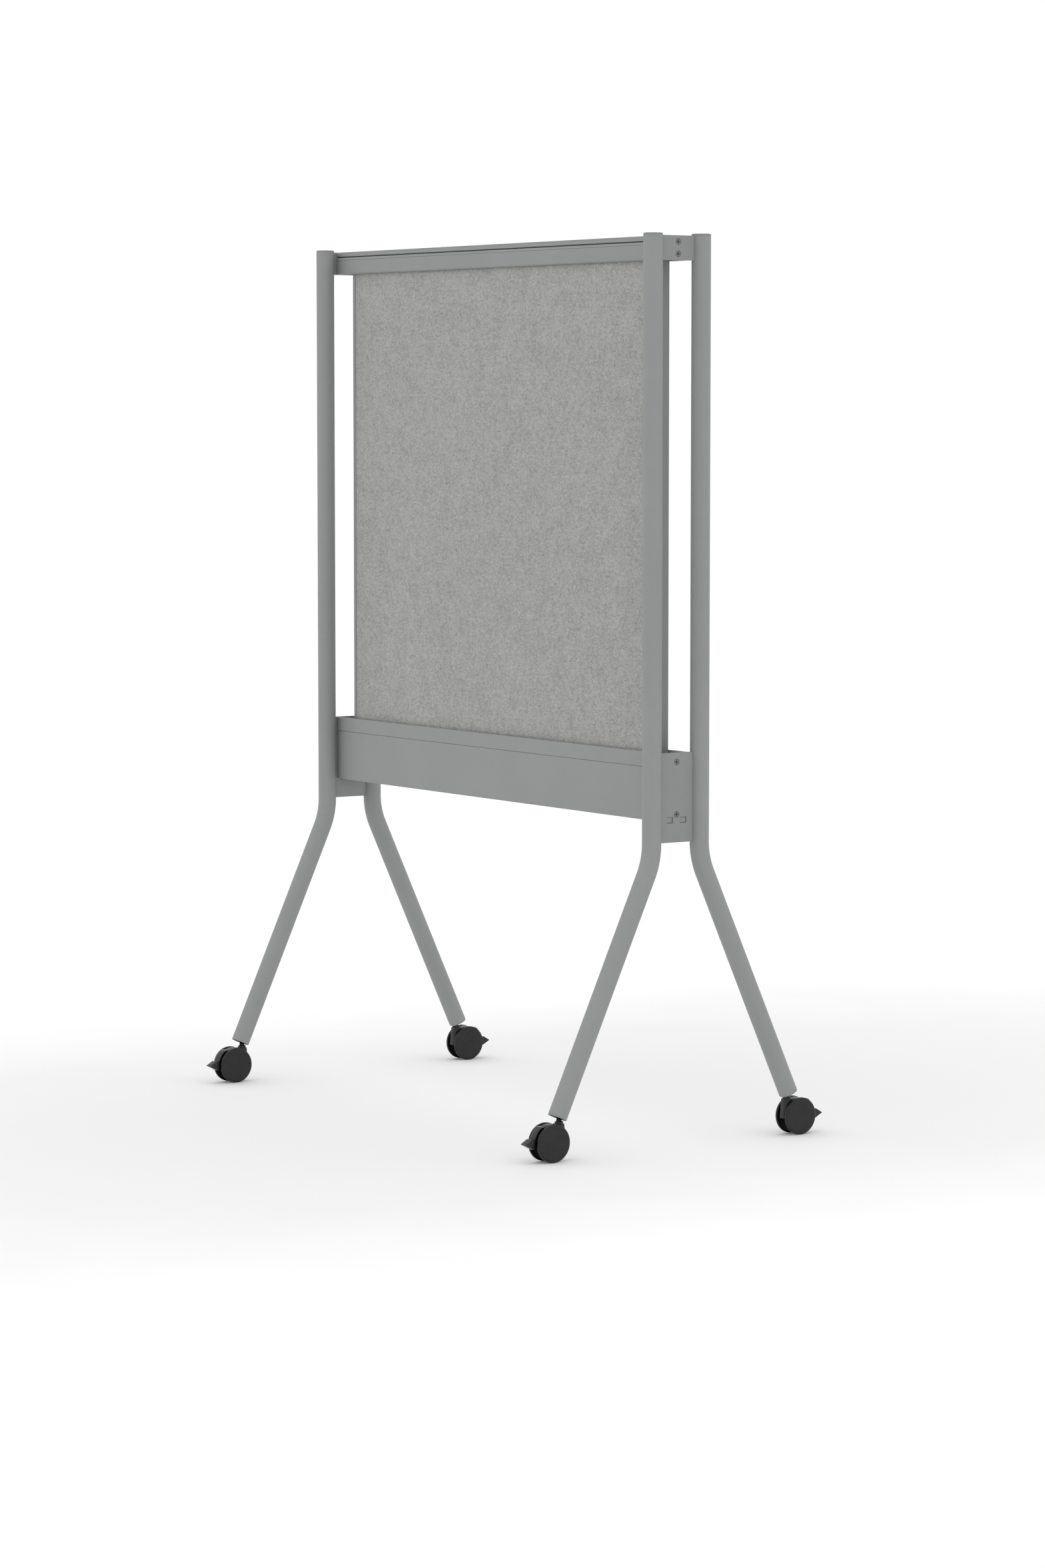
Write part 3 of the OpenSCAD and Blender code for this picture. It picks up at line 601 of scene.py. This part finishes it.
def felt_face(name, node, side_y):
    """A pressed felt sheet: gently uneven face, rounded wandering edges, a border turned in."""
    lo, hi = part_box(node)
    step, edge, rest = 5 * MM, 1.1 * MM, 0.22 * MM
    back = min(abs(lo.y), abs(hi.y))
    front = max(abs(lo.y), abs(hi.y))
    fall = 0.75 * (front - back)

    def along(a, b):
        """Grid lines from a to b: even steps, and a few within the rounded edges."""
        n = max(2, round((b - a) / step))
        inner = [a + (b - a) * i / n for i in range(1, n)]
        return ([a, a + 0.25 * edge, a + 0.6 * edge, a + edge] + inner
                + [b - edge, b - 0.6 * edge, b - 0.25 * edge, b])

    def sink(d):
        """How far the face falls back at distance d from its edge."""
        t = max(0.0, 1 - d / edge)
        return (1 - math.sqrt(max(0.0, 1 - t * t))) * fall

    xs, zs = along(lo.x, hi.x), along(lo.z, hi.z)
    bm = bmesh.new()
    grid = []
    for z in zs:
        row = []
        for x in xs:
            dx, dz = min(x - lo.x, hi.x - x), min(z - lo.z, hi.z - z)
            seed = Vector((x, side_y * 3.1, z))
            swell = (0.16 * noise.noise(seed * 9) + 0.09 * noise.noise(seed * 38)
                     + 0.06 * noise.noise(seed * 130))
            y = front - rest + swell * MM - sink(min(dx, dz))
            stray_x = 0.25 * MM * noise.noise(seed * 160) if dx < edge else 0
            stray_z = 0.30 * MM * noise.noise(seed * 190) if dz < edge else 0
            row.append(bm.verts.new((x + stray_x, side_y * y, z + stray_z)))
        grid.append(row)
    for low, high in zip(grid, grid[1:]):
        for j in range(len(xs) - 1):
            bm.faces.new((low[j], low[j + 1], high[j + 1], high[j]))
    rim = (grid[0] + [row[-1] for row in grid[1:]] + grid[-1][-2::-1]
           + [row[0] for row in grid[-2:0:-1]])
    base = [bm.verts.new((v.co.x, side_y * back, v.co.z)) for v in rim]
    for k in range(len(rim)):
        m = (k + 1) % len(rim)
        bm.faces.new((rim[k], rim[m], base[m], base[k]))
    bm.faces.new(base)
    piece(name, bm, "frame", "felt", node, sharp=80)


felt_face("felt_face_front", "panel_fabric_front", FRONT)
felt_face("felt_face_rear", "panel_fabric_rear", REAR)

# ---------------------------------------------------------------- casters
# Sizes in millimetres are from the wheel's centre: outward from the frame, then up.

SWIVEL_BACK = 23 * MM
DISC_WIDTH = 6.5 * MM
HOOD_INSET = 4 * MM
HOOD_HALF = 9.1 * MM
PEDAL_PIN = (27 * MM, 3 * MM)


def wheel_profile(r, inner, outer):
    """Outline of a wheel disc: hub and drum inside, a plain face with a rounded rim outside."""
    rim, rim_in, soft = 2.5 * MM, 5.5 * MM, 2.2 * MM
    bore, bore_end = 4.05 * MM, outer - 1.9 * MM
    hub, hub_r, drum_in, drum_out, nick = 4.6 * MM, 7.5 * MM, 14.5 * MM, 17 * MM, 0.3 * MM
    bay, bay_in, bay_out, bay_nick = inner + 3 * MM, 19 * MM, r - 4 * MM, 0.4 * MM
    p = [(bore, hub), (hub_r - nick, hub), (hub_r, hub + nick), (hub_r, inner),
         (drum_in, inner), (drum_in, hub), (drum_out - nick, hub), (drum_out, hub + nick),
         (drum_out, inner), (bay_in - bay_nick, inner), (bay_in, inner + bay_nick), (bay_in, bay),
         (bay_out, bay), (bay_out, inner + bay_nick), (bay_out + bay_nick, inner)]
    p += [(r - soft + x, inner + soft + y) for x, y in arc(0, 0, soft, -90, 0, 5)]
    p += [(r - rim_in + rim_in * x, outer - rim + rim * y) for x, y in arc(0, 0, 1, 0, 90, 14)]
    p += [(r - 9 * MM, outer - 0.06 * MM), (r * 0.5, outer - 0.10 * MM),
          (0, outer - 0.12 * MM), (0, bore_end), (bore, bore_end)]
    return p


def pillar_rings(at, wheel_z, swivel):
    """The caster's upright: a rounded block that widens downward at the back."""
    half, front_reach = 9.2 * MM, 9 * MM
    back_low, back_high = 12.5, 9
    low, high = wheel_z - 3.5 * MM, wheel_z + 35.5 * MM
    soft, small, edge = 5.5 * MM, 1.2 * MM, 0.9 * MM

    def ring(z, shrink):
        t = (z - low) / (high - low)
        back = swivel - (back_low + (back_high - back_low) * t) * MM + shrink
        front = swivel + front_reach - shrink
        h = half - shrink
        points = [(h - soft + x, back + soft + y) for x, y in arc(0, 0, soft, -90, 0, 8)]
        points += [(h - small + x, front - small + y) for x, y in arc(0, 0, small, 0, 90, 3)]
        points += [(-h + small + x, front - small + y) for x, y in arc(0, 0, small, 90, 180, 3)]
        points += [(-h + soft + x, back + soft + y) for x, y in arc(0, 0, soft, 180, 270, 8)]
        return [at(x, y, z) for x, y in points]

    return [
        ring(low, edge),
        ring(low + edge * 0.3, edge * 0.3),
        ring(low + edge, 0),
        ring((low + high) / 2, 0),
        ring(high - edge, 0),
        ring(high - edge * 0.3, edge * 0.3),
        ring(high, edge),
    ]


def hood_outlines(wheel_r):
    """Side views of the hood's shell, and of the narrower rib that ends it above the pedal."""
    hood_r, hood_in = wheel_r - 1.5 * MM, wheel_r - HOOD_INSET
    front_r, shell = wheel_r + 3.1 * MM, 2.4 * MM
    front_end, back_end = 9.5 * MM, 115
    ramp_start, ramp_width, rib_end = 51, 17, 54

    def start(r):
        """The angle at which the front edge lies at front_end above the axle."""
        return math.degrees(math.asin(front_end / r))

    def line(high, low):
        """From the raised front shell down a smooth ramp to the low back."""
        points = []
        for i in range(61):
            angle = start(high) + (back_end - start(high)) * i / 60
            t = min(1.0, max(0.0, (angle - ramp_start) / ramp_width))
            r = high + (low - high) * (t * t * (3 - 2 * t))
            points += arc(0, 0, r, angle, angle, 1)[:1]
        return points

    shell_outline = line(front_r, hood_r) + line(front_r - shell, hood_in)[::-1]
    rib_r = front_r - shell / 2
    rib_outline = (arc(0, 0, rib_r, start(rib_r), rib_end, 20)
                   + arc(0, 0, hood_in, rib_end, start(hood_in), 20))
    return shell_outline, rib_outline


def boss_profile(foot):
    """The round boss that takes the stem, with a small recess in its top."""
    r, soft, top, recess = 8.25 * MM, 1 * MM, 77 * MM, 4 * MM
    return ([(0, foot), (r, foot), (r, top - soft)]
            + [(r - soft + x, top - soft + y) for x, y in arc(0, 0, soft, 0, 90, 5)]
            + [(6.2 * MM, top), (5.5 * MM, top - 0.6 * MM), (5.35 * MM, top - recess),
               (0, top - recess)])


def caster(short, side_y):
    """Builds one caster around its CAD nodes. Returns the foot of its swivel axis."""
    left_lo, left_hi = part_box(short + "_wheel_left")
    lo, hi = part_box(short + "_wheel_right")
    x_low, x_high = min(lo.x, left_lo.x), max(hi.x, left_hi.x)
    mid_x = (x_low + x_high) / 2
    outer = (x_high - x_low) / 2
    wheel_r = (hi.z - lo.z) / 2
    wheel_z = (hi.z + lo.z) / 2
    wheel_y = abs(hi.y + lo.y) / 2
    swivel = wheel_y - SWIVEL_BACK
    into_hood = wheel_r - HOOD_INSET + 0.8 * MM
    housing = short + "_caster"

    def at(x, y, z):
        return Vector((mid_x + x, side_y * y, z))

    def side_view(u, v, w):
        """u outward from the wheel centre, v up from it, w along the axle."""
        return at(w, wheel_y + u, wheel_z + v)

    for side, word in ((-1, "left"), (1, "right")):
        bm = bmesh.new()
        profile = wheel_profile(wheel_r, outer - DISC_WIDTH, outer)
        lathe(bm, profile, at(0, wheel_y, wheel_z), (side, 0, 0), 120)
        wheel = f"{short}_wheel_{word}"
        piece(f"{short}_{word}_disc", bm, wheel + "_body", "wheel_plastic", wheel)

    shell, rib = hood_outlines(wheel_r)
    web = in_mm((-27, -3), (0, -8), (27, -3), (31.8, 0.4), (33, 3.4))
    web += arc(0, 0, into_hood, 17, 112, 30) + in_mm((-20, 28))
    pillar = bmesh.new()
    skin(pillar, pillar_rings(at, wheel_z, swivel))
    boss = bmesh.new()
    lathe(boss, boss_profile(wheel_z + 22 * MM), at(0, swivel, 0), (0, 0, 1), 56)
    parts = [
        prism(shell, side_view, -HOOD_HALF, HOOD_HALF, 0.6 * MM),
        prism(rib, side_view, -6.2 * MM, 6.2 * MM),
        prism(web, side_view, -4 * MM, 4 * MM, 0.3 * MM, 2),
        pillar,
        boss,
    ]
    piece(short + "_hood_and_yoke", join(parts), housing, "caster_plastic", short + "_housing",
          sharp=36)

    blade = [(into_hood, 8.6 * MM)]
    blade += in_mm((38.4, 8.9), (45.5, 10.3), (59.6, 1.75), (59.8, 1.1), (59.6, 0.5),
                   (42.5, -9), (34.3, -5.5))
    arm = arc(*PEDAL_PIN, 6 * MM, 115, 250, 14) + in_mm((36, -4.5), (36, 7.5))
    lever = [prism(blade, side_view, -HOOD_HALF, HOOD_HALF, 0.5 * MM)]
    lever += [prism(arm, side_view, s * 4.65 * MM, s * 9.05 * MM, 0.35 * MM, 2) for s in (-1, 1)]
    piece(short + "_brake_lever", join(lever), short + "_pedal_body", "caster_plastic",
          short + "_pedal", sharp=36)

    rods = (
        ("_axle_rod", "_axle", (0, 0), outer - 2.2 * MM, 4 * MM, 0.6 * MM, 40),
        ("_lever_pin", "_pedal_pin", PEDAL_PIN, 8.8 * MM, 2 * MM, 0.3 * MM, 32),
    )
    for name, node, centre, end, r, chamfer, around in rods:
        half = [(0, end), (r - chamfer, end), (r, end - chamfer)]
        rod = bmesh.new()
        profile = [(u, -v) for u, v in half] + half[::-1]
        lathe(rod, profile, side_view(*centre, 0), (1, 0, 0), around)
        piece(short + name, rod, housing, "steel", short + node)
    return at(0, swivel, 0)


def stem_profile(foot, top):
    """A caster's stem: a neck with a groove for its ring, and a thread above it."""
    neck_r, neck_top = 5.3 * MM, 81.5 * MM
    groove_r, groove_low, groove_high = neck_r - 0.9 * MM, 56.5 * MM, 57.8 * MM
    thread_r, pitch = 5 * MM, 1.5 * MM
    p = [(0, foot), (neck_r - 1 * MM, foot), (neck_r, foot + 1 * MM), (neck_r, groove_low),
         (groove_r, groove_low), (groove_r, groove_high), (neck_r, groove_high),
         (neck_r, neck_top - 0.3 * MM), (neck_r - 0.3 * MM, neck_top)]
    z = neck_top
    while z + pitch < top - 1 * MM:
        p += [(thread_r - 0.55 * MM, z + 0.3 * MM), (thread_r, z + 0.9 * MM),
              (thread_r, z + 1.1 * MM)]
        z += pitch
    return p + [(thread_r - 0.9 * MM, top), (0, top)]


swivels = [caster(short, side_y) for short, side_y, _ in CORNERS]

stems = bmesh.new()
stems_lo, stems_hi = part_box("caster_stems")
for centre in swivels:
    lathe(stems, stem_profile(stems_lo.z, stems_hi.z), centre, (0, 0, 1), 48)
piece("stems_in_legs", stems, "frame", "dark_steel", "caster_stems")

# ---------------------------------------------------------------- CAD nodes that stay

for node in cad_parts.values():
    for material_slot in node.material_slots:
        name = material_slot.material.name.split(".")[0] if material_slot.material else ""
        # the end plates and the top rail take the darker copies of the frame paint: painted shade
        if "plate" in node.name:
            name = "plate_paint"
        if "top_rail" in node.name:
            name = "rail_paint"
        material_slot.material = LOOKS.get(name, LOOKS["frame_paint"])

# ---------------------------------------------------------------- studio

WHITE = (1, 1, 1, 1)
BACKDROP = 1.02  # just above white, so that the view's edges come out plain
DOME_HORIZON, DOME_TOP = 0.85, 1.21
FLOOR_GREY = 0.878


def floor():
    """A pale floor whose grey fades to white well away from the object."""
    reach, steps, around = 30.0, 8, 60
    fade_x, fade_y, fade_from, fade_to = 1.25, 2.2, 0.68, 1.42
    m = Mat("studio_floor")
    place = m.node("ShaderNodeSeparateXYZ", Vector=m.coord)
    wander = m.noise(0.9, 3, 0.55)
    drift = m.noise(3.5, 2, 0.5)
    x_square = m.math("POWER", m.math("MULTIPLY", place.outputs[0], 1 / fade_x), 2)
    y_square = m.math("POWER", m.math("MULTIPLY", place.outputs[1], 1 / fade_y), 2)
    distance = m.math("SQRT", m.math("ADD", x_square, y_square))
    ragged = m.math("ADD", m.remap(wander, 0.3, 0.7, -0.12, 0.12),
                    m.remap(drift, 0.3, 0.7, -0.03, 0.03))
    away = m.node("ShaderNodeMapRange", p_interpolation_type="SMOOTHSTEP",
                  i0=m.math("ADD", distance, ragged), i1=fade_from, i2=fade_to).outputs[0]
    seen = m.node("ShaderNodeLightPath").outputs["Is Camera Ray"]
    glow = m.node("ShaderNodeEmission", Color=WHITE, Strength=BACKDROP).outputs[0]
    m.surface(Base_Color=(FLOOR_GREY,) * 3, Roughness=0.9, Specular_IOR_Level=0.1)
    blend = m.node("ShaderNodeMixShader", i0=m.math("MULTIPLY", away, seen),
                   i1=m.bsdf.outputs[0], i2=glow)
    m.tree.links.new(blend.outputs[0], m.out.inputs[0])

    bm = bmesh.new()
    rings = []
    for i in range(1, steps + 1):
        r = reach * (i / steps) ** 2
        turns = (2 * math.pi * k / around for k in range(around))
        rings.append([Vector((r * math.cos(a), r * math.sin(a), 0)) for a in turns])
    skin(bm, rings, caps=False)
    bm.verts.ensure_lookup_table()
    bm.faces.new(bm.verts[:around])
    obj = bpy.data.objects.new("studio_floor", finish_mesh("studio_floor", bm))
    obj.data.materials.append(m.mat)
    bpy.context.scene.collection.objects.link(obj)


def dome():
    """Soft white light from all around, stronger from above, seen by the camera as white."""
    world = bpy.data.worlds.new("studio_dome")
    n = Nodes(world)
    around = n.node("ShaderNodeTexCoord").outputs["Generated"]
    up = n.node("ShaderNodeSeparateXYZ", Vector=around).outputs["Z"]
    strength = n.remap(up, 0.0, 1.0, DOME_HORIZON, DOME_TOP)
    light = n.node("ShaderNodeBackground", Color=WHITE, Strength=strength).outputs[0]
    backdrop = n.node("ShaderNodeBackground", Color=WHITE, Strength=BACKDROP).outputs[0]
    seen = n.node("ShaderNodeLightPath").outputs["Is Camera Ray"]
    pick = n.node("ShaderNodeMixShader", i0=seen, i1=light, i2=backdrop).outputs[0]
    n.node("ShaderNodeOutputWorld", Surface=pick)
    bpy.context.scene.world = world


floor()
dome()

camera_data = bpy.data.cameras.new("studio_camera")
camera_data.sensor_width = 36
camera_data.lens = 101.02
camera = bpy.data.objects.new("studio_camera", camera_data)
camera.location = (7.5605, -5.0239, 1.4613)
camera.rotation_euler = (math.radians(85.047), 0, math.radians(56.15))
scene = bpy.context.scene
scene.collection.objects.link(camera)
scene.camera = camera
scene.view_settings.view_transform = "Standard"
